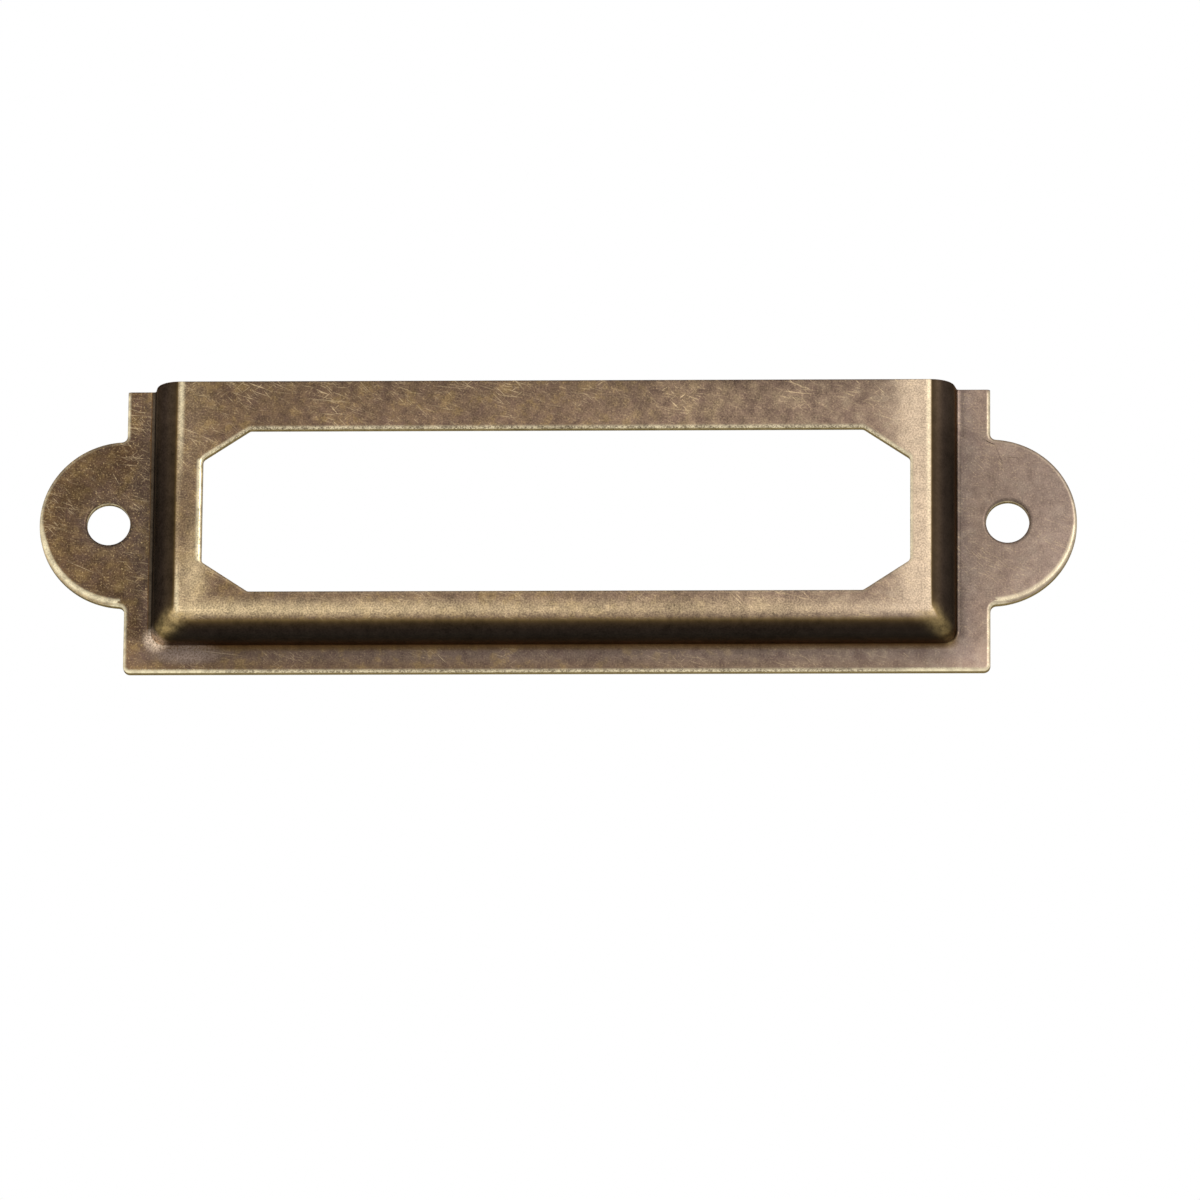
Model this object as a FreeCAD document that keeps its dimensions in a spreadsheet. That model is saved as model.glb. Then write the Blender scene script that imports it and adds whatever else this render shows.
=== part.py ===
import FreeCAD
import Part
import Sketcher
import os

# Drawer label frame, pressed from one piece of metal sheet.
# A flat plate with a round screw ear at each end carries a raised tray, and a window in the tray's
# face shows the card. The tray has walls on the left, on the right and below, and is open at the
# top, where the card slides in behind the face.
# Frame: the back of the plate lies on the plane Y = 0 and the face looks towards -Y, with Z up.
# The origin is midway between the two screw holes. Depths are counted from the back towards -Y.

NODE = "label_frame"

SIZES_MM = {
    # Flat plate, with heights counted from the line through the screw holes
    "plate_width": 50.0,
    "plate_top": 8.0,
    "plate_bottom": 9.0,
    "metal_thickness": 0.6,
    "plate_corner_round": 0.4,
    # Screw ears, half discs centred on the plate's sides
    "ear_radius": 5.0,
    "ear_root_round": 0.35,
    "hole_diameter": 2.5,
    "hole_beyond_plate": 1.0,
    # Flat margins of the plate that are left outside the tray's foot
    "left_flange": 1.6,
    "right_flange": 1.9,
    "bottom_flange": 1.6,
    # Drawn tray, with each bend given by the radius on its hollow side
    "tray_rise": 2.0,
    "wall_draft_degrees": 10.0,
    "rim_bend": 0.8,
    "corner_bend": 0.2,
    "foot_bend": 0.15,
    # Rails of the tray between its foot and the window, seen from the front
    "left_rail": 2.95,
    "right_rail": 2.7,
    "top_rail": 2.9,
    "bottom_rail": 2.7,
    # Window corners, cut off by a slant with softened ends
    "slant_run": 2.7,
    "slant_height": 1.8,
    "slant_round": 0.3,
    # Front edges, rolled in where the punches cut the metal
    "edge_roll": 0.2,
}

# Places that several features share, as formulas of the sizes
PLATE = {
    "left": "-sizes.plate_width / 2",
    "right": "sizes.plate_width / 2",
    "bottom": "-sizes.plate_bottom",
    "top": "sizes.plate_top",
}
TRAY_FOOT = {
    "left": PLATE["left"] + " + sizes.left_flange",
    "right": PLATE["right"] + " - sizes.right_flange",
    "bottom": PLATE["bottom"] + " + sizes.bottom_flange",
    "top": PLATE["top"] + " + sizes.tray_rise",
}
WINDOW = {
    "left": TRAY_FOOT["left"] + " + sizes.left_rail",
    "right": TRAY_FOOT["right"] + " - sizes.right_rail",
    "bottom": TRAY_FOOT["bottom"] + " + sizes.bottom_rail",
    "top": PLATE["top"] + " - sizes.top_rail",
}
# The inside of a wall leaves the back plane further in than its outside leaves the plate's front:
# two lines one thickness apart, bent together through a right angle less the draft
MOUTH_INSET = "sizes.metal_thickness * tan((90 - sizes.wall_draft_degrees) / 2)"
HOLLOW_MOUTH = {
    "left": f"{TRAY_FOOT['left']} + {MOUTH_INSET}",
    "right": f"{TRAY_FOOT['right']} - {MOUTH_INSET}",
    "bottom": f"{TRAY_FOOT['bottom']} + {MOUTH_INSET}",
    "top": f"{TRAY_FOOT['top']} - {MOUTH_INSET}",
}
# The blank runs on past the upper end of the tray until the top is cut off flush
TOP_WASTE = dict(PLATE, bottom=PLATE["top"], top=TRAY_FOOT["top"] + " + sizes.tray_rise")
BLANK = dict(PLATE, top=TOP_WASTE["top"])

ORIGIN = (-1, 1)
TOUCH = 1e-4


def write_sizes(doc):
    """Write the driving dimensions into a table, one named cell to a row."""
    sizes = doc.addObject("Spreadsheet::Sheet", "sizes")
    for row, (name, size) in enumerate(SIZES_MM.items(), 1):
        sizes.set(f"A{row}", name)
        sizes.set(f"B{row}", str(size))
        sizes.setAlias(f"B{row}", name)
    doc.recompute()
    return sizes


def new_sketch(body, name, depth=None):
    """Start a sketch parallel to the back plane: its x is X, its y is Z and it faces -Y."""
    sketch = body.newObject("Sketcher::SketchObject", name)
    plane = next(item for item in body.Origin.OriginFeatures if item.Role == "XZ_Plane")
    sketch.AttachmentSupport = [(plane, "")]
    sketch.MapMode = "FlatFace"
    if depth:
        sketch.setExpression("AttachmentOffset.Base.z", depth)
    return sketch


def dimension(sketch, name, formula, kind, *points):
    """Add a sized constraint that follows a formula of the sizes."""
    index = sketch.addConstraint(Sketcher.Constraint(kind, *points, 1.0))
    sketch.renameConstraint(index, name)
    sketch.setExpression(f"Constraints.{name}", formula)


def draw_loop(sketch, corners):
    """Draw straight lines round a list of rough corners and join their ends."""
    points = [FreeCAD.Vector(x, z, 0) for x, z in corners]
    for start, end in zip(points, points[1:] + points[:1]):
        sketch.addGeometry(Part.LineSegment(start, end))
    for line in range(len(points)):
        after = (line + 1) % len(points)
        sketch.addConstraint(Sketcher.Constraint("Coincident", line, 2, after, 1))


def hold_sides(sketch, lines, places):
    """Keep four lines level or upright, each at its own place from the origin."""
    for side, line in lines.items():
        level = side in ("bottom", "top")
        sketch.addConstraint(Sketcher.Constraint("Horizontal" if level else "Vertical", line))
        kind = "DistanceY" if level else "DistanceX"
        dimension(sketch, side, places[side], kind, *ORIGIN, line, 1)


def rectangle(body, name, places, depth=None):
    """Sketch a rectangle from the places of its four sides."""
    sketch = new_sketch(body, name, depth)
    draw_loop(sketch, [(-1, -1), (1, -1), (1, 1), (-1, 1)])
    hold_sides(sketch, {"bottom": 0, "right": 1, "top": 2, "left": 3}, places)
    return sketch


def slanted_rectangle(body, name, places):
    """Sketch a rectangle whose four corners are cut off by slants of one size."""
    sketch = new_sketch(body, name)
    draw_loop(sketch, [(-1, -2), (1, -2), (2, -1), (2, 1), (1, 2), (-1, 2), (-2, 1), (-2, -1)])
    hold_sides(sketch, {"bottom": 0, "right": 2, "top": 4, "left": 6}, places)
    for line, across, up in ((1, "", ""), (3, "-", ""), (5, "-", "-"), (7, "", "-")):
        ends = (line, 1, line, 2)
        dimension(sketch, f"run_{line}", f"{across}sizes.slant_run", "DistanceX", *ends)
        dimension(sketch, f"height_{line}", f"{up}sizes.slant_height", "DistanceY", *ends)
    return sketch


def circle_pair(body, name, radius, place):
    """Sketch two equal circles on the hole line, each as far from the middle."""
    sketch = new_sketch(body, name)
    for circle, sign in enumerate(("-", "")):
        rough_centre = FreeCAD.Vector(-1 if sign else 1, 0, 0)
        sketch.addGeometry(Part.Circle(rough_centre, FreeCAD.Vector(0, 0, 1), 1))
        sketch.addConstraint(Sketcher.Constraint("PointOnObject", circle, 3, -1))
        dimension(sketch, f"place_{circle}", f"{sign}({place})", "DistanceX", *ORIGIN, circle, 3)
        dimension(sketch, f"radius_{circle}", radius, "Radius", circle)
    return sketch


def sides(sketch):
    """Read the four sides of a solved sketch."""
    box = sketch.Shape.BoundBox
    return {"left": box.XMin, "right": box.XMax, "bottom": box.ZMin, "top": box.ZMax}


def pad(body, sketch, name, length):
    """Raise a sketch towards the front."""
    feature = body.newObject("PartDesign::Pad", name)
    feature.Profile = sketch
    feature.setExpression("Length", length)
    body.Document.recompute()


def pocket(body, sketch, name, length=None):
    """Cut a sketch towards the front, to a length or right through, and see that it cut."""
    before = body.Shape.Volume
    feature = body.newObject("PartDesign::Pocket", name)
    feature.Profile = sketch
    feature.Reversed = True
    if length:
        feature.setExpression("Length", length)
    else:
        feature.Type = "ThroughAll"
    body.Document.recompute()
    if feature.Shape.Volume > before - TOUCH:
        raise RuntimeError(f"{name} cut nothing")


def lean_walls(body, name, hinge_depth, bounds):
    """Lean the upright walls within a rectangle inwards by the draft, hinged at one depth."""
    base = body.Tip
    walls = []
    for index, face in enumerate(base.Shape.Faces, 1):
        if at_depth(face, hinge_depth):
            hinge = f"Face{index}"
        elif face.BoundBox.YLength > TOUCH and within(face, bounds):
            walls.append(f"Face{index}")
    feature = body.newObject("PartDesign::Draft", name)
    feature.Base = (base, walls)
    feature.NeutralPlane = (base, [hinge])
    feature.setExpression("Angle", "sizes.wall_draft_degrees")
    # The walls take their lean on the second pass
    body.Document.recompute()
    body.Document.recompute()


def round_off(body, name, radius, wanted):
    """Round every edge of the newest shape for which the test holds."""
    base = body.Tip
    edges = [f"Edge{index}" for index, edge in enumerate(base.Shape.Edges, 1) if wanted(edge)]
    if not edges:
        raise RuntimeError(f"{name} found no edge")
    feature = body.newObject("PartDesign::Fillet", name)
    feature.Base = (base, edges)
    feature.setExpression("Radius", radius)
    body.Document.recompute()


def at_depth(shape, depth):
    """Tell whether an edge or a face lies in the plane at this depth."""
    return all(abs(vertex.Y + depth) < TOUCH for vertex in shape.Vertexes)


def starts_at_depth(edge, depth):
    """Tell whether an edge has an end in the plane at this depth."""
    return any(abs(vertex.Y + depth) < TOUCH for vertex in edge.Vertexes)


def stands(edge):
    """Tell whether an edge runs straight from back to front."""
    box = edge.BoundBox
    return box.YLength > TOUCH and max(box.XLength, box.ZLength) < TOUCH


def runs_askew(edge):
    """Tell whether an edge changes in all three directions, as the ridge of a corner does."""
    box = edge.BoundBox
    return min(box.XLength, box.YLength, box.ZLength) > TOUCH


def within(shape, bounds):
    """Tell whether an edge or a face lies within a rectangle, its sides included."""
    box = shape.BoundBox
    across = bounds["left"] - TOUCH < box.XMin and box.XMax < bounds["right"] + TOUCH
    return across and bounds["bottom"] - TOUCH < box.ZMin and box.ZMax < bounds["top"] + TOUCH


def cut_blank(body, sizes):
    """Cut the flat blank with its two ears, round its lower corners and the ears' roots."""
    thickness = "sizes.metal_thickness"
    pad(body, rectangle(body, "plate_outline", BLANK), "plate", thickness)
    ear_outlines = circle_pair(body, "ear_outlines", "sizes.ear_radius", PLATE["right"])
    pad(body, ear_outlines, "ears", thickness)

    def at_ear_root(edge):
        return stands(edge) and abs(abs(edge.BoundBox.ZMin) - sizes.ear_radius) < TOUCH

    def at_lower_corner(edge):
        return stands(edge) and abs(edge.BoundBox.ZMin + sizes.plate_bottom) < TOUCH

    round_off(body, "ear_roots", "sizes.ear_root_round", at_ear_root)
    round_off(body, "plate_corners", "sizes.plate_corner_round", at_lower_corner)


def draw_tray(body, sizes):
    """Raise the tray and hollow it from behind, one thickness inside everywhere.

    Both forms lean in by the draft. On each the rim rolls over first, then the ridges of the two
    lower corners soften, and every outside bend is one thickness wider than the inside one.
    """
    front = sizes.metal_thickness
    face = front + sizes.tray_rise
    foot_outline = rectangle(body, "tray_foot", TRAY_FOOT, "sizes.metal_thickness")
    pad(body, foot_outline, "tray", "sizes.tray_rise")
    lean_walls(body, "tray_draft", front, sides(foot_outline))
    mouth_outline = rectangle(body, "hollow_mouth", HOLLOW_MOUTH)
    pocket(body, mouth_outline, "hollow", "sizes.tray_rise")
    lean_walls(body, "hollow_draft", 0, sides(mouth_outline))

    def rim(depth):
        return lambda edge: at_depth(edge, depth) and edge.BoundBox.ZMin < sizes.plate_top

    def ridge(depth):
        return lambda edge: (runs_askew(edge) and starts_at_depth(edge, depth)
                             and edge.BoundBox.ZMax < sizes.plate_top)

    round_off(body, "tray_rim", "sizes.rim_bend + sizes.metal_thickness", rim(face))
    round_off(body, "tray_corners", "sizes.corner_bend + sizes.metal_thickness", ridge(front))
    round_off(body, "hollow_rim", "sizes.rim_bend", rim(sizes.tray_rise))
    round_off(body, "hollow_corners", "sizes.corner_bend", ridge(0))
    return sides(foot_outline)


def pierce(body):
    """Cut the window with its slanted corners, and the two screw holes."""
    window_outline = slanted_rectangle(body, "window_outline", WINDOW)
    pocket(body, window_outline, "window")
    window = sides(window_outline)
    round_off(body, "window_corners", "sizes.slant_round",
              lambda edge: stands(edge) and within(edge, window))
    hole_place = PLATE["right"] + " + sizes.hole_beyond_plate"
    hole_outlines = circle_pair(body, "hole_outlines", "sizes.hole_diameter / 2", hole_place)
    pocket(body, hole_outlines, "screw_holes")
    return window


def finish_edges(body, sizes, foot, window):
    """Roll in the front edges of every cut but the top one, then bend the foot of the walls.

    The foot is tight in front and one thickness wider behind.
    """
    front = sizes.metal_thickness
    face = front + sizes.tray_rise

    def cut_edge(edge):
        if at_depth(edge, face):
            return within(edge, window)
        below_top = edge.BoundBox.ZMin < sizes.plate_top - TOUCH
        return at_depth(edge, front) and below_top and not within(edge, foot)

    round_off(body, "rolled_edges", "sizes.edge_roll", cut_edge)
    round_off(body, "front_foot", "sizes.foot_bend",
              lambda edge: at_depth(edge, front) and within(edge, foot))
    round_off(body, "back_foot", "sizes.foot_bend + sizes.metal_thickness",
              lambda edge: at_depth(edge, 0) and within(edge, foot))


def press_label_frame(doc, sizes):
    """Make the frame in the order of its press work."""
    body = doc.addObject("PartDesign::Body", NODE)
    body.Label = NODE
    cut_blank(body, sizes)
    foot = draw_tray(body, sizes)
    pocket(body, rectangle(body, "top_waste", TOP_WASTE), "cut_off_top")
    window = pierce(body)
    finish_edges(body, sizes, foot, window)
    return body


def check(doc, body):
    """Stop before anything is written if a feature failed or the solid is not sound."""
    for item in doc.Objects:
        if "Invalid" in item.State or "Error" in item.State:
            raise RuntimeError(f"{item.Name} failed: {item.State}")
    shape = body.Shape
    if shape.isNull() or not shape.isValid() or len(shape.Solids) != 1:
        raise RuntimeError(f"{body.Label} is not one valid solid")


def main():
    """Build the frame, check it and write its solid."""
    doc = FreeCAD.newDocument(NODE)
    sizes = write_sizes(doc)
    body = press_label_frame(doc, sizes)
    doc.recompute()
    check(doc, body)
    os.makedirs("parts", exist_ok=True)
    body.Shape.exportStep(f"parts/{body.Label}.step")
    print(f"{body.Label}: {body.Shape.Volume:.2f} mm3, {len(body.Shape.Faces)} faces")


main()
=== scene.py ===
import math
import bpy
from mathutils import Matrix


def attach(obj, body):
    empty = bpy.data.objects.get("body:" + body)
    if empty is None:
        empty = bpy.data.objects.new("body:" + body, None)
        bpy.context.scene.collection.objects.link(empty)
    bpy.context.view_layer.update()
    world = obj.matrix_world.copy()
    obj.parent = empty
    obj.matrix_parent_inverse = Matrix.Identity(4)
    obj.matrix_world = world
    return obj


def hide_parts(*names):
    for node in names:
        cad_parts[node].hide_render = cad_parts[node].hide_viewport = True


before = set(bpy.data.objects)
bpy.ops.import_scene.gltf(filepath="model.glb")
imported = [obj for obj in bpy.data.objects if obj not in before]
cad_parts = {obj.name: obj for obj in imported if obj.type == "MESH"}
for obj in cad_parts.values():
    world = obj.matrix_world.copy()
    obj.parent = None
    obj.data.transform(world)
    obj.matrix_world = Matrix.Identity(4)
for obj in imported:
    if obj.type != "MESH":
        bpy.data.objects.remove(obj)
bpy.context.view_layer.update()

from types import SimpleNamespace

import bmesh
import bpy
import numpy as np
from mathutils import Matrix, Vector

# Drawer label frame, pressed from one piece of brass-plated sheet. Sizes are in millimetres, in the
# part's frame: X along the frame, Z up, and depth counted from the back plane towards the viewer, at -Y.
MM = 0.001
SHEET = 0.6
TOP = 8.0
TOP_BEVEL = 0.04
PLATE_SIDE = 25.0
PLATE_BOTTOM = -9.0
PLATE_CORNER = 0.4
EAR_RADIUS = 5.0
EAR_ROOT = 0.35
HOLE_X = 26.0
HOLE_RADIUS = 1.25
FRONT_ROLL, BACK_ROLL = 0.2, 0.03
FOOT_LEFT, FOOT_RIGHT, FOOT_BOTTOM = -23.4, 23.1, -7.4
TRAY_RISE = 2.0
WALL_SLOPE = math.radians(80)
# Bends as they are in front. Behind, they have the same centres, one thickness of sheet away.
RIM_BEND, CORNER_BEND, FOOT_BEND = 1.4, 0.8, 0.15
# Least share of the corner bend, where the face starts to turn over the rim
SOFTEST_CORNER = 0.4
# From the foot line in to the start of the rim bend
RIM_IN = TRAY_RISE / math.tan(WALL_SLOPE) + RIM_BEND * math.tan(WALL_SLOPE / 2)
WINDOW_LEFT, WINDOW_RIGHT, WINDOW_BOTTOM, WINDOW_TOP = -20.45, 20.4, -4.7, 5.1
SLANT_RUN, SLANT_HEIGHT, SLANT_ROUND = 2.7, 1.8, 0.3

# Fineness of the mesh: points on each bend and round, steps on the flats beside them, and the shares of
# the way at which rings lie on the face and the ears, and rows on the margin
SLANT_POINTS, ROLL_POINTS, ROOT_POINTS, EAR_POINTS = 5, 6, 7, 101
RIM_POINTS, WALL_POINTS, FOOT_POINTS = 17, 6, 8
ROLL_STEPS = np.array([0.05, 0.15])
FOOT_STEP = 0.05
FACE_RINGS = np.array([0.2, 0.4, 0.6, 0.8, 0.95, 1.0])[:, None]
MARGIN_ROWS = np.array([0, 0.06, 0.3, 0.65, 1])[:, None]
EAR_RINGS = np.append(np.linspace(0, 0.95, 8), 1)[:, None, None]
# Points nearer than the weld become one, edges shorter than a sliver go, and past this angle edges are sharp
WELD, SLIVER = 0.002, 0.0005
SHARP_EDGE = math.radians(40)

# A point of the mesh has three columns for its place, and one for each field that the colouring reads,
# bare brass and painted light among them
X, Z = 0, 2
WEAR_AND_LIGHT_FIELDS = ("from_rim", "from_cut", "ridge", "behind", "rubbed", "tone")
FROM_RIM, FROM_CUT, RIDGE, BEHIND, RUBBED_AND_HIGHLIGHT, TONE_AND_PAINTED_LIGHT = range(3, 3 + len(WEAR_AND_LIGHT_FIELDS))
# Distances that these fields hold on a cut, on the flats past the foot, and far from every edge
ON_CUT, PAST_FOOT, FAR = -0.3, 1.35, 9.0


def rounded_path(corners, radius, run_points, bend_points):
    """Walk round a list of corners in the X-Z plane: straight runs, joined by arcs of one radius that
    touch both runs at radius * tan(half the turn) from the corner. Gives the points, their normals to
    the right of the walk, and the place in the list at which each run starts."""
    corners = np.array(corners, float)
    steps = np.diff(corners, axis=0)
    way = steps / np.linalg.norm(steps, axis=1, keepdims=True)
    heading = np.unwrap(np.arctan2(way[:, 1], way[:, 0]))
    turn = np.diff(heading)
    least_turn = 0.01
    reach = radius * np.tan(turn / 2)
    starts = corners[:-1] + way * np.append(0, reach)[:, None]
    ends = corners[1:] - way * np.append(reach, 0)[:, None]
    points, normals, marks, count = [], [], [], 0
    for run, points_on_run in enumerate(run_points):
        share = np.arange(points_on_run)[:, None] / points_on_run
        right = np.array([way[run, 1], -way[run, 0]])
        points.append(starts[run] + (ends[run] - starts[run]) * share)
        normals.append(np.repeat(right[None], points_on_run, axis=0))
        marks.append(count)
        count += points_on_run
        if run < len(turn) and turn[run] > least_turn:
            angle = heading[run] - math.pi / 2 + turn[run] * np.arange(bend_points) / bend_points
            out = np.stack([np.cos(angle), np.sin(angle)], -1)
            points.append(ends[run] + radius * (out - right))
            normals.append(out)
            count += bend_points
    points.append(corners[-1:])
    normals.append(normals[-1][-1:])
    return np.concatenate(points), np.concatenate(normals), marks


def window_loop():
    """The window's outline, an octagon with softened corners, walked from the middle of the upper left
    slant down the left side, along the bottom, up the right side and back along the top. Each lower
    slant is three runs, and the middle one faces the tray's corner."""
    left, right, bottom, top = WINDOW_LEFT, WINDOW_RIGHT, WINDOW_BOTTOM, WINDOW_TOP
    run, height = SLANT_RUN, SLANT_HEIGHT
    near, far = 0.44, 0.56
    upper_left = (left + run / 2, top - height / 2)
    upper_right = (right - run / 2, top - height / 2)
    corners = [
        upper_left, (left, top - height), (left, bottom + height),
        (left + run * near, bottom + height * (1 - near)), (left + run * far, bottom + height * (1 - far)),
        (left + run, bottom), (right - run, bottom),
        (right - run * far, bottom + height * (1 - far)), (right - run * near, bottom + height * (1 - near)),
        (right, bottom + height), (right, top - height),
        upper_right, (right - run, top), (left + run, top), upper_left,
    ]
    run_points = [9, 26, 9, 9, 6, 120, 6, 9, 9, 26, 9, 6, 120, 6]
    return rounded_path(corners, SLANT_ROUND, run_points, SLANT_POINTS)


WINDOW, WINDOW_NORMAL, MARKS = window_loop()
U_END = MARKS[11]


def walk_of_columns():
    """How far along the tray's U each column of the mesh stands: 0 to 1 down the left side, 1 to 2 round
    the lower left corner, 2 to 3 along the bottom, 3 to 4 round the corner and 4 to 5 up the right side.
    On the sides it keeps the spacing of the window's points, and in the corners it is even."""
    share = []
    for first, last, axis in ((0, MARKS[3], 1), (MARKS[4], MARKS[7], 0), (MARKS[8], U_END, 1)):
        place = WINDOW[first:last + 1, axis]
        share.append((place - place[0]) / (place[-1] - place[0]))
    corner = np.arange(1, MARKS[4] - MARKS[3]) / (MARKS[4] - MARKS[3])
    return np.concatenate([share[0], 1 + corner, 2 + share[1], 3 + corner, 4 + share[2]])


WALK = walk_of_columns()
TOP_WALK = (WINDOW[U_END:, 0] - WINDOW[U_END, 0]) / (WINDOW[-1, 0] - WINDOW[U_END, 0])
# Where along the walk the left ear starts and ends, the sides pass into the bottom, and half of it is done
EAR_START, EAR_STOP = 0.17, 0.82
LOWER_TURNS = (0.9, 1.6, 3.4, 4.1)
HALF_WAY = 2.5
# Columns on one side of the U, and on the parts of that side above and below the ear
SIDE_COLUMNS = MARKS[3] + 1
ABOVE_EAR = np.searchsorted(WALK, EAR_START) + 1
BELOW_EAR = SIDE_COLUMNS - np.searchsorted(WALK, EAR_STOP)
# How far each column is on an upright side, and on the left and the right one
UPRIGHT = np.interp(WALK, LOWER_TURNS, (1, 0, 0, 1))
LEFT_WALL = UPRIGHT * (WALK < HALF_WAY)
RIGHT_WALL = UPRIGHT * (WALK > HALF_WAY)


def u_path(walk, left, right, bottom, corner):
    """A U with rounded lower corners, as the sum of five moves that follow one another: down, round a
    quarter circle, along, round a quarter circle and up."""
    down, turn_in, along, turn_up, up = (np.clip(walk - start, 0, 1) for start in range(5))
    x = left + corner * (1 - np.cos(turn_in * math.pi / 2)) + (right - left - 2 * corner) * along
    x = x + corner * np.sin(turn_up * math.pi / 2)
    z = TOP - TOP_BEVEL + (bottom + corner - TOP + TOP_BEVEL) * (down - up)
    z = z - corner * np.sin(turn_in * math.pi / 2) + corner * (1 - np.cos(turn_up * math.pi / 2))
    return x, z


def cut_edge(behind):
    """Section of a cut edge from the middle of the sheet to the flat: straight up, a quarter circle of
    the roll's radius, then two steps on the flat. Gives the distance in from the edge, the change of
    depth from the flat, and the wear field of that distance, below 0 on the cut and far off behind."""
    roll = BACK_ROLL if behind else FRONT_ROLL
    angle = np.linspace(0, math.pi / 2, ROLL_POINTS)
    inward = np.concatenate([[0], roll * (1 - np.cos(angle)), roll + ROLL_STEPS])[:, None]
    sunk = np.concatenate([[SHEET / 2], roll * (1 - np.sin(angle)), 0 * ROLL_STEPS])[:, None]
    on_cut = inward <= 0 if behind else sunk > SHEET / 3
    from_cut = np.where(on_cut, ON_CUT, inward + FAR * behind)
    return inward, sunk if behind else -sunk, from_cut


def tray_section(behind):
    """Section of the tray's wall from the flat face to the flat plate: an arc over the rim from level to
    the wall's slope, the straight wall, and a contrary arc at the foot. Gives the distance in from the
    foot line, the height above the plate, the rounding of the tray's corners at that height, which is
    the corner bend times the sine of the slope, and the length along the section."""
    thickness = SHEET * behind
    rim_bend, corner_bend, foot_bend = RIM_BEND - thickness, CORNER_BEND - thickness, FOOT_BEND + thickness
    reach = math.tan(WALL_SLOPE / 2)
    rim = np.linspace(0, WALL_SLOPE, RIM_POINTS)
    foot = np.linspace(WALL_SLOPE, 0, FOOT_POINTS)
    rim_in = TRAY_RISE / math.tan(WALL_SLOPE) + rim_bend * (reach - np.sin(rim))
    rim_up = TRAY_RISE - rim_bend * (1 - np.cos(rim))
    foot_in = foot_bend * (np.sin(foot) - reach)
    foot_up = foot_bend * (1 - np.cos(foot))
    wall = np.linspace(0, 1, WALL_POINTS)[1:-1]
    wall_in = rim_in[-1] + (foot_in[0] - rim_in[-1]) * wall
    wall_up = rim_up[-1] + (foot_up[0] - rim_up[-1]) * wall
    inward = np.concatenate([rim_in, wall_in, foot_in, foot_in[-1:] - FOOT_STEP])
    up = np.concatenate([rim_up, wall_up, foot_up, foot_up[-1:]])
    wall_corner = corner_bend * math.sin(WALL_SLOPE)
    corner = np.concatenate([corner_bend * np.maximum(np.sin(rim), SOFTEST_CORNER),
                             np.full(len(wall), wall_corner),
                             wall_corner + foot_in[0] - foot_in,
                             wall_corner + foot_in[:1] - foot_in[-1:] + FOOT_STEP])
    length = np.append(0, np.cumsum(np.hypot(np.diff(inward), np.diff(up))))
    return inward[:, None] + thickness * reach, up[:, None], corner[:, None], length[:, None]


def surface(x, z, depth, from_rim, from_cut, ridge, behind, rubbed, tone):
    """A grid of points with the fields that the colouring reads: millimetres along the section from the start
    of the rim bend and from the nearest rolled edge, nearness to a corner ridge, whether it faces the drawer,
    how far the patina is broken through to bare brass, with painted highlight in the same field, and how
    light the patina is, with painted light and shade in the same field."""
    return np.stack(np.broadcast_arrays(x, -depth, z, from_rim, from_cut, ridge, behind, rubbed, tone), -1)


def ease(value, start, end):
    """Smooth step: 0 up to the start, 1 from the end on, and a cubic without corners between them."""
    share = np.clip((value - start) / (end - start), 0, 1)
    return share * share * (3 - 2 * share)


def bell(value):
    """Bell curve: 1 at 0, falling off to both sides as e to the minus square."""
    return np.exp(-np.square(value))


def face_wear_and_highlight(x, z, left, right, bottom):
    """How far the patina is broken through to bare brass on the face, with painted highlight in the same
    field: the greatest of three bells that fall off from the rim lines, narrow along the bottom, wide over
    the right rail and faint over the left one. The wide bell over the right rail and the band along the
    bottom are painted highlight over bare brass. Each upright rim adds a thin line, and the left rail a
    bell beside the lower part of the window."""
    low = np.interp(x, (-21, -12, 8, 17, 20), (0.88, 0.62, 0.34, 0.34, 0.55))
    low_rail = low * bell((z - bottom) / 0.55)
    right_line = 0.25 * bell((right - x - 0.08) / 0.14)
    right_rail = right_line + 0.6 * bell(np.maximum(right - x - 1.0, 0))
    left_line = 0.2 * bell((x - left) / 0.12)
    faint = 0.08 + 0.3 * ease(-z, 1.8, 3.6)
    left_rail = left_line + faint * bell(np.maximum(x - left - 1.0, 0) / 0.8)
    beside_window = 0.24 * ease(-z, -0.5, 1.5) * ease(z, -5.5, -4.0) * bell((x - WINDOW_LEFT + 0.3) / 0.5)
    return np.maximum(low_rail, np.maximum(right_rail, left_rail + beside_window))


def plate_tone_and_light(x, z):
    """Lightness of the patina on the plate, painted light and shade: an even level below the face's, as
    painted shade of the lower flat, raised towards the top and along the bottom, in the two lower corners,
    up the lower right side and on the ears' outer and lower parts, where painted light falls."""
    corner = ease(np.abs(x), 21.5, 24.5) * ease(-z, 6.0, 8.6)
    ear = ease(np.abs(x), 24.5, 29) * (0.4 + (0.9 - 0.3 * (x > 0)) * ease(-z, -1, 3))
    right = ease(x, 22.5, 24) * ease(-z, 2.5, 5.5)
    level = 0.78 + 0.16 * ease(z, 3.5, 7.5) + 0.05 * ease(-z, 7.0, 7.6)
    return level + 0.6 * np.maximum(corner, 0.35 * right) + 0.25 * ear


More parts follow.
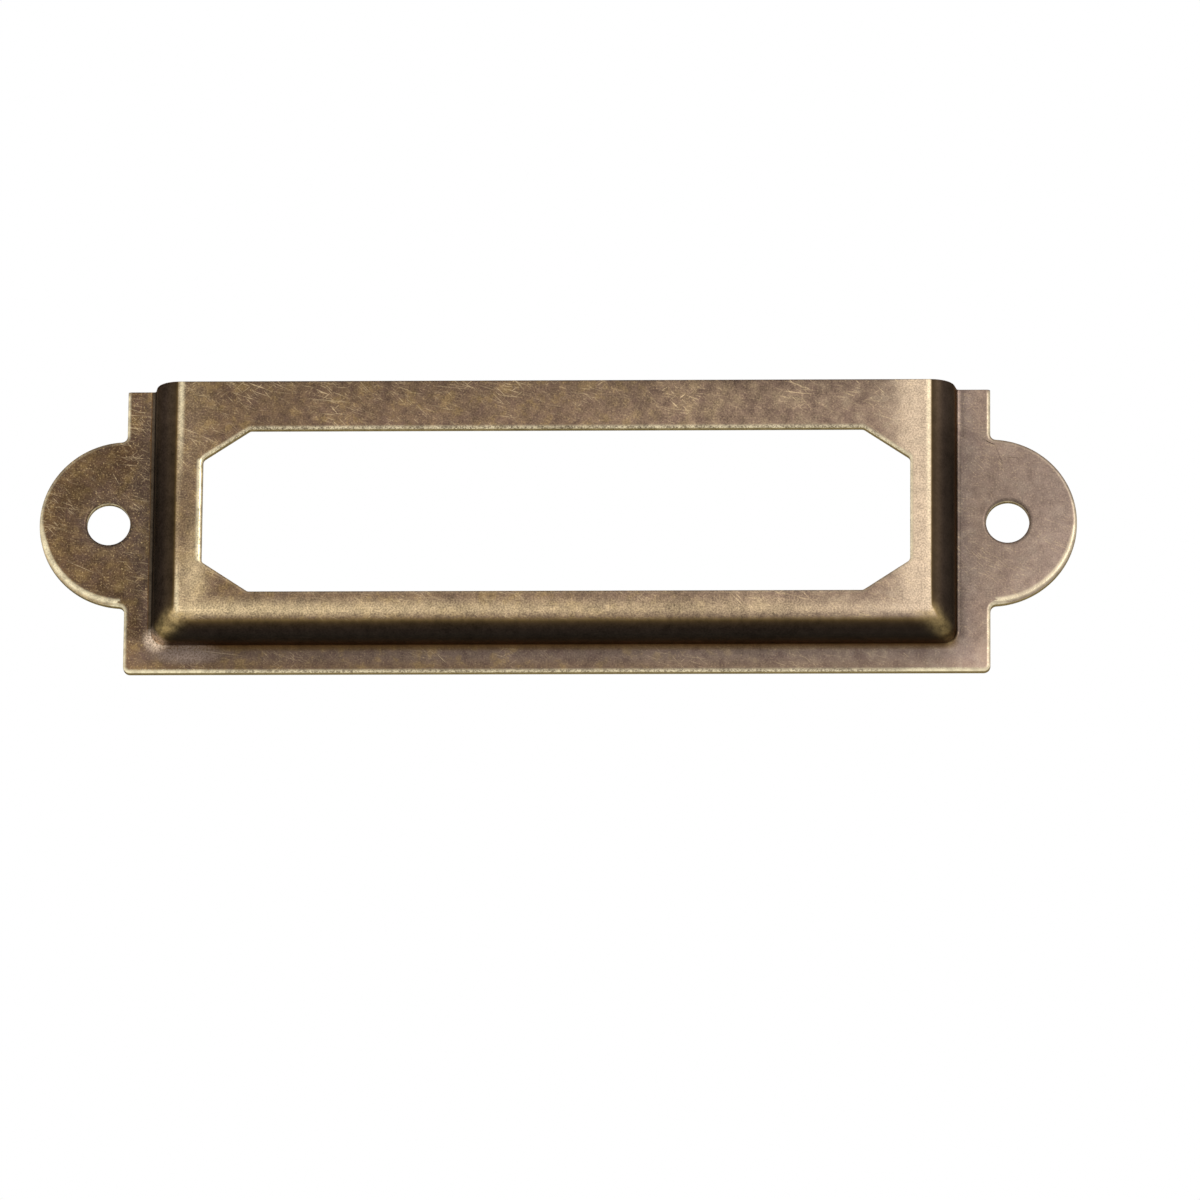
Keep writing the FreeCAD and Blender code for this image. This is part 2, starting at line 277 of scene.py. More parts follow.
def side_path(inward):
    """The plate's right side moved in by a distance, from the top to the lower corner: a straight run
    and a hollow arc to the ear's root, the round of the ear about the plate's side, and the same arc and
    run below. Gives the upper part, the ear and the lower part, with as many points on the upper and the
    lower part as the margin has columns there."""
    root_z = math.sqrt(EAR_RADIUS ** 2 + 2 * EAR_RADIUS * EAR_ROOT)
    lean = math.asin(EAR_ROOT / (EAR_RADIUS + EAR_ROOT))
    turn = np.linspace(0, math.pi / 2 - lean, ROOT_POINTS)
    sweep = np.linspace(math.pi / 2 - lean, lean - math.pi / 2, EAR_POINTS)
    root_x = PLATE_SIDE + EAR_ROOT - (EAR_ROOT + inward) * np.cos(turn)
    root_rise = root_z - (EAR_ROOT + inward) * np.sin(turn)
    ear = PLATE_SIDE + (EAR_RADIUS - inward) * np.cos(sweep), (EAR_RADIUS - inward) * np.sin(sweep)
    above, below = ABOVE_EAR - ROOT_POINTS, BELOW_EAR - ROOT_POINTS
    above_z = TOP - TOP_BEVEL + (root_z - TOP + TOP_BEVEL) * np.arange(above) / above + 0 * inward
    below_z = -root_z + (PLATE_BOTTOM + PLATE_CORNER + root_z) * np.arange(1, below + 1) / below + 0 * inward
    upper_part = [np.concatenate([PLATE_SIDE - inward + 0 * above_z, root_x], axis=1),
                  np.concatenate([above_z, root_rise], axis=1)]
    lower_part = [np.concatenate([root_x[:, ::-1], PLATE_SIDE - inward + 0 * below_z], axis=1),
                  np.concatenate([-root_rise[:, ::-1], below_z], axis=1)]
    return upper_part, ear, lower_part


def face_grid(behind, depth, edge, rim_x, rim_z):
    """The face in rings, from the window's rolled edge straight out to the start of the rim bend, and at
    the top to the line where it was cut off."""
    edge_in, edge_step, edge_fade = edge
    edge_x = WINDOW[:, 0] + edge_in * WINDOW_NORMAL[:, 0]
    edge_z = WINDOW[:, 1] + edge_in * WINDOW_NORMAL[:, 1]
    top_x = rim_x[-1] + (rim_x[0] - rim_x[-1]) * TOP_WALK
    outer_x = np.append(rim_x[:-1], top_x)
    outer_z = np.append(rim_z[:-1], np.full(len(TOP_WALK), TOP - TOP_BEVEL))
    x = np.concatenate([edge_x, edge_x[-1] + (outer_x - edge_x[-1]) * FACE_RINGS])
    z = np.concatenate([edge_z, edge_z[-1] + (outer_z - edge_z[-1]) * FACE_RINGS])
    step = np.concatenate([edge_step, 0 * FACE_RINGS])
    from_cut = np.concatenate([edge_fade, edge_fade[-1] + FACE_RINGS])
    # Painted highlight on bare brass: the window's left edge is brightest a little in from its roll
    on_left = ease(-WINDOW_NORMAL[:, 0], 0.9, 1.0) * (from_cut > 0)
    from_cut = from_cut + on_left * (np.abs(from_cut - 0.17) - from_cut)
    # The cut-off top has no rim near it
    to_rim = np.hypot(outer_x - x, outer_z - z)
    to_rim[:, U_END + 1:] = 2.0
    rubbed = face_wear_and_highlight(x, z, rim_x[0], rim_x[-1], rim_z.min())
    tone = 1 - 0.22 * ease(z, 5.4, 8.0) - 0.25 * ease(z, 7.8, TOP - TOP_BEVEL)
    return surface(x, z, depth + step, -to_rim, from_cut, 0, behind, rubbed, tone)


def tray_grid(behind, x, z, depth, length, rim):
    """The tray's rim, wall and foot at given places, with the wear that follows from the length along the
    section and from the wear of the face at the rim."""
    # Nearness to the two lines that join the lower corners of the face to those of the foot
    from_side = np.minimum(x - FOOT_LEFT, FOOT_RIGHT - x)
    ridge = bell((from_side - z + FOOT_BOTTOM - 0.3) / (0.8 - 0.13 * length)) * ease(-z, 4.8, 6.2)
    # Along the bottom the bare brass and its painted highlight run 0.6 mm down the rim's bend, on the
    # upright sides hardly at all
    rubbed = rim[:, RUBBED_AND_HIGHLIGHT] * (1 - ease(length, 0, 0.6 - 0.45 * UPRIGHT))
    # Painted shade: the upright walls reach the dark colours sooner below the rim than the bottom one, which
    # faces the light. At the foot the left one falls back to darker ones, and the right one goes on to those
    # of the plate.
    darker = (0.65 * LEFT_WALL + 0.75 * RIGHT_WALL) * ease(length + 0.06 * RIGHT_WALL, -0.1, 0.2)
    foot_shift = np.interp(WALK, LOWER_TURNS, (-0.9, 0.1, 0.1, 0.45)) * ease(length, 1.9, 2.7)
    from_rim = length + darker * bell(length) + foot_shift
    # Painted light and shade: they are lighter half way down and at the top, and at the foot the left one is
    # lighter, the right darker
    lift = 0.3 * ease(length, 0.2, 0.5) + 0.8 * bell((length - 1.7) / 0.4)
    lift = lift + 0.7 * ease(z, 3.0, 7.5) * ease(length, 0.0, 0.4)
    left_lift = 0.3 * bell((length - 0.55) / 0.2) + 0.5 * ease(length, 1.5, 2.2)
    right_drop = 0.75 * RIGHT_WALL * ease(length, 2.1, 2.6)
    tone = rim[:, TONE_AND_PAINTED_LIGHT] + UPRIGHT * lift + LEFT_WALL * left_lift - right_drop
    return surface(x, z, depth, from_rim, FAR, ridge, behind, rubbed, tone)


def margin_grid(behind, depth, edge, foot, rim_end):
    """The flat margin in rows, straight from the tray's foot to the rolled outline. Of its columns beside
    an ear only the foot row is used, by the ear's own grids."""
    edge_in, edge_step, edge_fade = edge
    out_x, out_z = u_path(WALK, edge_in - PLATE_SIDE, PLATE_SIDE - edge_in, PLATE_BOTTOM + edge_in,
                          PLATE_CORNER - edge_in)
    (upper_x, upper_z), _, (lower_x, lower_z) = side_path(edge_in)
    left_lower = slice(SIDE_COLUMNS - BELOW_EAR, SIDE_COLUMNS)
    right_lower = slice(-SIDE_COLUMNS, BELOW_EAR - SIDE_COLUMNS)
    out_x[:, :ABOVE_EAR], out_z[:, :ABOVE_EAR] = -upper_x, upper_z
    out_x[:, left_lower], out_z[:, left_lower] = -lower_x, lower_z
    out_x[:, -ABOVE_EAR:], out_z[:, -ABOVE_EAR:] = upper_x[:, ::-1], upper_z[:, ::-1]
    out_x[:, right_lower], out_z[:, right_lower] = lower_x[:, ::-1], lower_z[:, ::-1]
    x = np.concatenate([foot[:, X] + (out_x[-1] - foot[:, X]) * MARGIN_ROWS, out_x[-2::-1]])
    z = np.concatenate([foot[:, Z] + (out_z[-1] - foot[:, Z]) * MARGIN_ROWS, out_z[-2::-1]])
    step = np.concatenate([0 * MARGIN_ROWS, edge_step[-2::-1]])
    from_cut = np.concatenate([edge_fade[-1] + 1 - MARGIN_ROWS, edge_fade[-2::-1]])
    past_foot = (0.1 + 0.25 * UPRIGHT) * (MARGIN_ROWS > 0)
    on_edge = PAST_FOOT + rim_end + 0 * edge_in[1:] * WALK
    from_rim = np.concatenate([rim_end + MARGIN_ROWS + past_foot, on_edge])
    # Painted light and shade: close to the upright walls the plate is lighter at the left and darker at the
    # right
    beside_foot = bell(np.append(MARGIN_ROWS, 1 + edge_in[1:])[:, None] / 0.15)
    tone = plate_tone_and_light(x, z) * (1 + (0.6 * LEFT_WALL - 0.3 * RIGHT_WALL) * beside_foot)
    return surface(x, z, depth + step, from_rim, from_cut, 0, behind, 0, tone)


def ear_grids(behind, depth, edge, margin, rim_end):
    """The ears' rolled edges, those of the screw holes, and the flats between them, in rings from the
    hole out to the closed line of the foot, the margin and the ear's round. The spokes leave the hole at
    angles taken from the foot line and the outline, which both skins share."""
    edge_in, edge_step, edge_fade = edge
    _, (ear_x, ear_z), _ = side_path(edge_in)
    edge_depth = depth + edge_step
    past_foot = PAST_FOOT + rim_end
    inner_rows = len(MARGIN_ROWS) - 1
    rows = MARGIN_ROWS[1:inner_rows, 0]
    foot_spread = 1.08
    # Painted highlight on bare brass: the ear's lower edge is brightest on a line a little in from the roll,
    # the upper edge on the roll
    low_part = ease(-ear_z, -0.5, 1.5) * ease(np.abs(ear_z), EAR_RADIUS - 0.01, EAR_RADIUS - 0.2)
    left_columns = ABOVE_EAR - 1, SIDE_COLUMNS - BELOW_EAR
    right_columns = len(WALK) - ABOVE_EAR, len(WALK) - SIDE_COLUMNS + BELOW_EAR - 1
    grids = []
    for side, (first, last) in ((-1, left_columns), (1, right_columns)):
        columns = np.arange(first, last - side, -side)
        line = 0.2 - 0.04 * (side > 0) + 0.06 * ease(-ear_z, 1, 5)
        from_cut = edge_fade + low_part * (np.abs(edge_fade - line) - edge_fade) * (edge_fade > 0)
        rubbed = 0.7 * (side < 0) * low_part * (1 - ease(edge_in, 0.15, 0.33))
        ear_edge = surface(side * ear_x, ear_z, edge_depth, past_foot, from_cut, 0, behind, rubbed,
                           plate_tone_and_light(side * ear_x, ear_z))
        loop = np.concatenate([margin[0, columns], margin[1:inner_rows, last], ear_edge[-1, ::-1],
                               margin[:inner_rows, first][::-1]])
        foot_z = np.linspace(margin[-1, first, Z], margin[-1, last, Z], len(columns)) * foot_spread
        spoke_x = np.concatenate([FOOT_RIGHT + 0 * foot_z, FOOT_RIGHT + (ear_x[0, -1] - FOOT_RIGHT) * rows,
                                  ear_x[0, ::-1], ear_x[0, 0] + (FOOT_RIGHT - ear_x[0, 0]) * rows,
                                  [FOOT_RIGHT]])
        spoke_z = np.concatenate([foot_z, foot_z[-1] + (ear_z[0, -1] - foot_z[-1]) * rows,
                                  ear_z[0, ::-1], ear_z[0, 0] + (foot_z[0] - ear_z[0, 0]) * rows,
                                  foot_z[:1]])
        angle = np.arctan2(spoke_z, spoke_x - HOLE_X)
        hole = HOLE_RADIUS + edge_in
        hole_x, hole_z = side * (HOLE_X + hole * np.cos(angle)), hole * np.sin(angle)
        # Painted shade: a dark line under the hole, for its shaded inner wall, stronger at the left
        below_hole = (0.5 - 0.3 * side) * ease(-hole_z, -0.3, 0.6) * (1 - ease(edge_in, 0.1, 0.3))
        hole_edge = surface(hole_x, hole_z, edge_depth, past_foot, edge_fade + 0.18, 0, behind, 0,
                            plate_tone_and_light(hole_x, hole_z) * (1 - below_hole))
        flat = hole_edge[-1] + (loop - hole_edge[-1]) * EAR_RINGS
        flat[:-1, :, FROM_RIM] = np.maximum(flat[:-1, :, FROM_RIM], rim_end + 0.4)
        flat[:, :, FROM_CUT] += 0.8 * np.sin(math.pi * EAR_RINGS[..., 0])
        flat[:-1, :, TONE_AND_PAINTED_LIGHT] = plate_tone_and_light(flat[:-1, :, X], flat[:-1, :, Z])
        grids += [ear_edge, hole_edge, flat]
    return grids


def skin(behind):
    """One side of the pressed sheet, 0 for the front and 1 for behind, from the middle of the window's
    cut to the middle of the outline's cut: face, tray, flat margin and ears. Gives its grids, and the
    line along which the top was cut off, from the left end to the right."""
    depth = SHEET * (1 - behind)
    edge = cut_edge(behind)
    inward, up, corner, length = tray_section(behind)
    rim_end = length[-1, 0]
    tray_x, tray_z = u_path(WALK, FOOT_LEFT + inward, FOOT_RIGHT - inward, FOOT_BOTTOM + inward, corner)
    face = face_grid(behind, depth + TRAY_RISE, edge, tray_x[0], tray_z[0])
    tray = tray_grid(behind, tray_x, tray_z, depth + up, length, face[-1, :U_END + 1])
    margin = margin_grid(behind, depth, edge, tray[-1], rim_end)
    # Where two grids meet, both carry the tray's fields, painted light among them
    margin[0, :, FROM_RIM:] = tray[-1, :, FROM_RIM:]
    face[-1, :U_END + 1, FROM_RIM:] = tray[0, :, FROM_RIM:]
    ears = ear_grids(behind, depth, edge, margin, rim_end)
    below_ears = margin[:, SIDE_COLUMNS - BELOW_EAR:len(WALK) - SIDE_COLUMNS + BELOW_EAR]
    grids = [face, tray, margin[:, :ABOVE_EAR], below_ears, margin[:, -ABOVE_EAR:]] + ears
    left_end = np.concatenate([margin[:0:-1, 0], tray[::-1, 0]])
    right_end = np.concatenate([tray[:, -1], margin[1:, -1]])
    return grids, np.concatenate([left_end, face[-1, -2:U_END:-1], right_end])


def top_cut(front_line, back_line):
    """The plain cut across the top, ruled from the front line to the back line, with a small bevel that
    drops both of its edges."""
    share = np.array([0, TOP_BEVEL / SHEET, 1 - TOP_BEVEL / SHEET, 1])[:, None, None]
    cut = front_line + (back_line - front_line) * share
    between = cut[1:3]
    between[..., Z] = TOP
    between[..., [FROM_RIM, FROM_CUT]] = FAR
    between[..., [RIDGE, BEHIND, RUBBED_AND_HIGHLIGHT]] = 0
    between[..., TONE_AND_PAINTED_LIGHT] = 0.6
    return cut


def welded_mesh(name, grids):
    """Join grids of points into one closed mesh: every grid gives a face for each of its cells, points
    that coincide become one, and the faces are turned outwards. The fields of bare brass, painted light
    and the rest go with the points."""
    points = np.concatenate([grid.reshape(-1, grid.shape[-1]) for grid in grids])
    faces, start = [], 0
    for grid in grids:
        rows, columns = grid.shape[:2]
        index = start + np.arange(rows * columns).reshape(rows, columns)
        cells = [index[:-1, :-1], index[1:, :-1], index[1:, 1:], index[:-1, 1:]]
        faces.append(np.stack(cells, -1).reshape(-1, 4))
        start += rows * columns
    mesh = bpy.data.meshes.new(name)
    mesh.from_pydata(points[:, :FROM_RIM] * MM, [], np.concatenate(faces))
    for column, field in enumerate(WEAR_AND_LIGHT_FIELDS, FROM_RIM):
        mesh.attributes.new(field, "FLOAT", "POINT").data.foreach_set("value", points[:, column])
    shell = bmesh.new()
    shell.from_mesh(mesh)
    bmesh.ops.remove_doubles(shell, verts=shell.verts, dist=WELD * MM)
    bmesh.ops.dissolve_degenerate(shell, edges=shell.edges, dist=SLIVER * MM)
    bmesh.ops.recalc_face_normals(shell, faces=shell.faces)
    shell.to_mesh(mesh)
    shell.free()
    mesh.polygons.foreach_set("use_smooth", np.ones(len(mesh.polygons), bool))
    mesh.set_sharp_from_angle(angle=SHARP_EDGE)
    return mesh


def pressed_frame():
    """Front and back of the sheet, one thickness apart, with the cut-off top between them."""
    front, front_line = skin(0.0)
    back, back_line = skin(1.0)
    mesh = welded_mesh("pressed_frame", front + back + [top_cut(front_line, back_line)])
    piece = bpy.data.objects.new("pressed_frame", mesh)
    bpy.context.scene.collection.objects.link(piece)
    return piece


def linear(hex_colour):
    """Turn an sRGB hex colour into linear red, green, blue and full alpha."""
    parts = np.array([int(hex_colour[i:i + 2], 16) for i in (1, 3, 5)]) / 255
    light = np.where(parts <= 0.04045, parts / 12.92, ((parts + 0.055) / 1.055) ** 2.4)
    return (*light.tolist(), 1.0)


# Settings that many nodes of the finish share, and the numbers of a Mix node's colour sockets
SMOOTH = {"interpolation_type": "SMOOTHSTEP"}
TEXTURE = {"vector_type": "TEXTURE"}
OVER = {"data_type": "RGBA"}
TINT = {"data_type": "RGBA", "blend_type": "MULTIPLY"}
TIMES, PLUS, MINUS, FUSED, GREATEST, UNSIGNED, DISTANCE, LENGTH = (
    {"operation": operation} for operation in
    ("MULTIPLY", "ADD", "SUBTRACT", "MULTIPLY_ADD", "MAXIMUM", "ABSOLUTE", "DISTANCE", "LENGTH"))
COVER, UNDER, UPPER, MIXED = 0, 6, 7, 2

# Bright brass, also the colour of the painted highlights on the rolled edges and the rim lines
POLISHED_AND_HIGHLIGHT = "#fdefc8"


def add(nodes, kind, settings=(), inputs=(), stops=()):
    """Add a node with its settings and give its outputs. An input, named or in order, is a plain value or
    another node's output to link. Stops are the places, colours and opacities of a colour ramp."""
    node = nodes.new("ShaderNode" + kind)
    for name, value in dict(settings).items():
        setattr(node, name, value)
    for name, value in inputs.items() if isinstance(inputs, dict) else enumerate(inputs):
        if isinstance(value, bpy.types.NodeSocket):
            nodes.id_data.links.new(value, node.inputs[name])
        else:
            node.inputs[name].default_value = value
    for index, (place, colour, opacity) in enumerate(stops):
        elements = node.color_ramp.elements
        stop = elements[index] if index < 2 else elements.new(place)
        stop.position = place
        stop.color = (*linear(colour)[:3], opacity)
    return node.outputs


def fading(nodes, strength, falls):
    """Multiply a strength by one smooth step after another. A step is given by the value that it follows,
    two limits of that value, and the factors at those limits."""
    for value, start, end, low, high in falls:
        factor = add(nodes, "MapRange", SMOOTH, [value, start, end, low, high])[0]
        strength = add(nodes, "Math", TIMES, [strength, factor])[0]
    return strength


def readings(nodes):
    """What the finish reads from the surface: the place in millimetres, the share of the way along the
    frame, how far it faces up, its fields of bare brass, painted light and the rest, and noise in grains
    of 0.1 mm, blotches of 0.5 mm and clouds of 4 mm."""
    place = add(nodes, "VectorMath", {"operation": "SCALE"},
                {"Vector": add(nodes, "TexCoord")["Object"], "Scale": 1 / MM})[0]
    across, _, height = add(nodes, "SeparateXYZ", {}, [place])
    facing_up = add(nodes, "SeparateXYZ", {}, [add(nodes, "NewGeometry")["Normal"]])["Z"]
    along = add(nodes, "MapRange", {}, [across, -30, 30])[0]
    grain, blotch, cloud = (
        add(nodes, "TexNoise", {}, {"Vector": place, "Scale": 1 / size, "Detail": detail,
                                    "Roughness": 0.6})["Fac"]
        for size, detail in ((0.1, 2.0), (0.5, 3.0), (4.0, 3.0)))
    surface_fields = {field: add(nodes, "Attribute", {"attribute_name": field})["Fac"] for field in WEAR_AND_LIGHT_FIELDS}
    return SimpleNamespace(place=place, across=across, height=height, along=along, facing_up=facing_up,
                           grain=grain, blotch=blotch, cloud=cloud, **surface_fields)


def mottle(nodes, on):
    """Light and dark of the finish about 1: the sum of clouds, blotches and grains, calmer at the
    right-hand end and along the bottom."""
    spots = add(nodes, "Math", TIMES, [on.cloud, 0.35])[0]
    spots = add(nodes, "Math", FUSED, [on.blotch, 0.5, spots])[0]
    spots = add(nodes, "Math", FUSED, [on.grain, 0.7, spots])[0]
    spots = add(nodes, "MapRange", {"clamp": False}, [spots, 0.475, 1.075, -0.64, 0.54])[0]
    spots = fading(nodes, spots, ((on.across, 12.0, 20.5, 1.0, 0.6), (on.height, -7.6, -6.8, 0.62, 1.0)))
    return add(nodes, "Math", PLUS, [spots, 1.0])[0]


def patina(nodes, on):
    """Colour of the flats: brown at the left, greyer and paler towards the right-hand end, where the paling
    is painted light from the right.
    """
    colour = add(nodes, "ValToRGB", {}, [on.along],
                 ((0.0, "#6b533b", 1), (0.2, "#78614b", 1), (0.5, "#806955", 1), (0.8, "#897463", 1),
                  (1.0, "#8e7b6f", 1)))["Color"]
    # Painted shadow beside the tray's foot, brown at the left and grey at the right
    foot_shadow = add(nodes, "MapRange", SMOOTH, [on.from_rim, 3.0, 3.3])[0]
    foot_shadow = fading(nodes, foot_shadow, [(on.from_rim, 4.2, 3.4, 0.0, 0.5)])
    foot_shadow_colour = add(nodes, "ValToRGB", {}, [on.along], ((0.1, "#67564c", 1), (0.4, "#7a6c66", 1)))["Color"]
    colour = add(nodes, "Mix", OVER, {COVER: foot_shadow, UNDER: colour, UPPER: foot_shadow_colour})[MIXED]
    # Patches of two hues, some violet-brown, some olive, fainter at the right-hand end
    patch_width = 0.8
    patch_strength = add(nodes, "MapRange", SMOOTH, [on.across, 18, 26, 0.4, 0.2])[0]
    hue = add(nodes, "TexNoise", {}, {"Vector": on.place, "Scale": 1 / patch_width, "Detail": 5.0,
                                      "Roughness": 0.65})["Fac"]
    olive = add(nodes, "ValToRGB", {}, [on.along], ((0.5, "#9f8456", 1), (0.88, "#a59584", 1)))["Color"]
    for end, shade in ((0.36, linear("#5f4a45")), (0.64, olive)):
        patch = add(nodes, "MapRange", SMOOTH, [hue, 0.5, end, 0.0, patch_strength])[0]
        colour = add(nodes, "Mix", OVER, {COVER: patch, UNDER: colour, UPPER: shade})[MIXED]
    colour = add(nodes, "Mix", TINT, {COVER: 1.0, UNDER: colour, UPPER: on.tone})[MIXED]
    # Patches on the left ear and below it, a grey one about the hole and darker ones: middle, half width,
    # strength and colour
    for x, z, wide, strength, shade in (
            (-26.0, 0.0, 3.0, 0.5, "#71605a"), (-25.2, 4.0, 1.5, 0.5, "#4a3322"),
            (-27.8, 1.6, 1.4, 0.5, "#4a3926"), (-24.4, -6.2, 0.9, 0.4, "#4a3322")):
        away = add(nodes, "VectorMath", DISTANCE, [on.place, (x, -SHEET, z)])["Value"]
        stain = add(nodes, "MapRange", SMOOTH, [away, wide, 0.0, 0.0, strength])[0]
        colour = add(nodes, "Mix", OVER, {COVER: stain, UNDER: colour, UPPER: linear(shade)})[MIXED]
    return colour


def bare_flats_and_highlight(nodes, on, colour):
    """The patina broken through to brass: on the face beside the rim, where the wide bands over the right
    and bottom rails are painted highlight as well, and in single grains.
    """
    bare = add(nodes, "MapRange", SMOOTH, [on.across, 10, 21])[0]
    bare = add(nodes, "Mix", OVER, {COVER: bare, UNDER: linear("#dac39a"), UPPER: linear("#dcc5a8")})[MIXED]
    bare_and_highlight = fading(nodes, on.rubbed, [(on.grain, 0.35, 0.65, 0.75, 1.2)])
    colour = add(nodes, "Mix", OVER, {COVER: bare_and_highlight, UNDER: colour, UPPER: bare})[MIXED]
    speck = add(nodes, "MapRange", SMOOTH, [on.across, -24, -18, 0.9, 0.3])[0]
    bright = add(nodes, "MapRange", SMOOTH, [on.grain, 0.58, 0.74, 0.0, speck])[0]
    return add(nodes, "Mix", OVER, {COVER: bright, UNDER: colour, UPPER: linear("#b8a074")})[MIXED]


def scratch_marks(nodes, on):
    """Where the finish is scratched pale and where it is scored dark. Fine scratches are noise drawn out
    along four directions, and each single one is a long ellipse about its middle."""
    # Scratches 0.07 mm wide and about 1 mm long, in patches, most of them running down to the right. Each
    # direction reads a stretch of the noise of its own.
    fine = 0.0
    for turn, long, threshold in ((20, 1.0, 0.63), (46, 0.8, 0.63), (7, 1.6, 0.64), (-38, 0.7, 0.66)):
        cloth = add(nodes, "Mapping", TEXTURE,
                    {"Vector": on.place, "Location": (10 * turn, 0, 20),
                     "Rotation": (0, math.radians(turn), 0), "Scale": (long, 2, 0.07)})[0]
        streak = add(nodes, "TexNoise", {}, {"Vector": cloth, "Scale": 1.0, "Detail": 1.0})["Fac"]
        streak = add(nodes, "MapRange", SMOOTH, [streak, threshold, threshold + 0.12])[0]
        fine = add(nodes, "Math", GREATEST, [fine, streak])[0]
    fine = fading(nodes, fine, ((on.cloud, 0.42, 0.62, 0.15, 0.65), (on.across, 18, 24, 1.0, 0.35),
                                (on.height, -7.6, -6.8, 0.5, 1.0)))
    # Single scratches, first the pale and then the dark ones: middle, fall to the right, half length
    pale = ((-20.1, -7.76, 7, 2.6), (-20.1, 4.46, 25, 0.9), (-27.6, -2.6, 24, 1.3), (-25.6, 2.7, 60, 0.6),
            (-13.2, 6.8, 6, 1.8), (-4.6, -6.1, 48, 0.4), (-6.6, -8.2, 45, 0.5), (-23.1, -7.3, 30, 0.6),
            (-23.6, -6.9, -35, 0.5), (-23.3, -7.4, 70, 0.5))
    dark = ((25.5, 4.05, 69, 1.0), (26.35, 3.85, 5, 0.7))
    half_width, any_depth = 0.03, 1000
    marks = [fine, 0.0]
    for kind, x, z, fall, half in [(0, *line) for line in pale] + [(1, *line) for line in dark]:
        line = add(nodes, "Mapping", TEXTURE,
                   {"Vector": on.place, "Location": (x, 0, z), "Rotation": (0, math.radians(fall), 0),
                    "Scale": (half, any_depth, half_width)})[0]
        away = add(nodes, "VectorMath", LENGTH, [line])["Value"]
        mark = add(nodes, "MapRange", SMOOTH, [away, 1.0, 0.3, 0.0, 0.6])[0]
        marks[kind] = add(nodes, "Math", GREATEST, [marks[kind], mark])[0]
    return marks


def rolled_edges(nodes, on, ragged):
    """How bright the rolled edges are, bare brass with painted highlight: most where they face down or aside,
    where the painted light falls, less at the right-hand end, and broken by the grain along the middle of
    the frame."""
    edge = add(nodes, "Math", PLUS, [on.from_cut, ragged])[0]
    edge = add(nodes, "MapRange", SMOOTH, [edge, 0.24, 0.05])[0]
    towards_end = add(nodes, "Math", UNSIGNED, [on.across])[0]
    whole = add(nodes, "MapRange", SMOOTH, [towards_end, 17, 22.5, 0.35, 1.0])[0]
    return fading(nodes, edge, (
        (on.facing_up, 0.5, -0.3, 0.12, 1.0), (towards_end, 17, 22.5, 0.75, 1.0),
        (on.blotch, 0.35, 0.6, 0.8, 1.0), (on.across, 22, 27, 1.0, 0.5), (on.grain, 0.4, 0.55, whole, 1.0)))


def rim_lines(nodes, on, colour):
    """Thin bright lines just inside the upright rims, bare brass with a painted highlight, strong at the top,
    and at the left also at the bottom. Each fades to both sides of its line and between two heights."""
    above_corner = (on.height, -6.8, -6.0, 0.0, 1.0)
    for line, wide, strength, from_height, to_height in (
            (FOOT_LEFT + RIM_IN + 0.13, 0.26, 0.55, 1.0, 7.0),
            (FOOT_LEFT + RIM_IN + 0.06, 0.2, 0.35, -2.6, -5.0),
            (FOOT_RIGHT - RIM_IN - 0.1, 0.2, 0.45, -4.0, 6.0)):
        away = add(nodes, "Math", MINUS, [on.across, line])[0]
        away = add(nodes, "Math", UNSIGNED, [away])[0]
        rim = add(nodes, "MapRange", SMOOTH, [away, wide, 0.0, 0.0, strength])[0]
        rim = fading(nodes, rim, ((on.height, from_height, to_height, 0.0, 1.0), above_corner))
        colour = add(nodes, "Mix", OVER, {COVER: rim, UNDER: colour, UPPER: linear(POLISHED_AND_HIGHLIGHT)})[MIXED]
    return colour


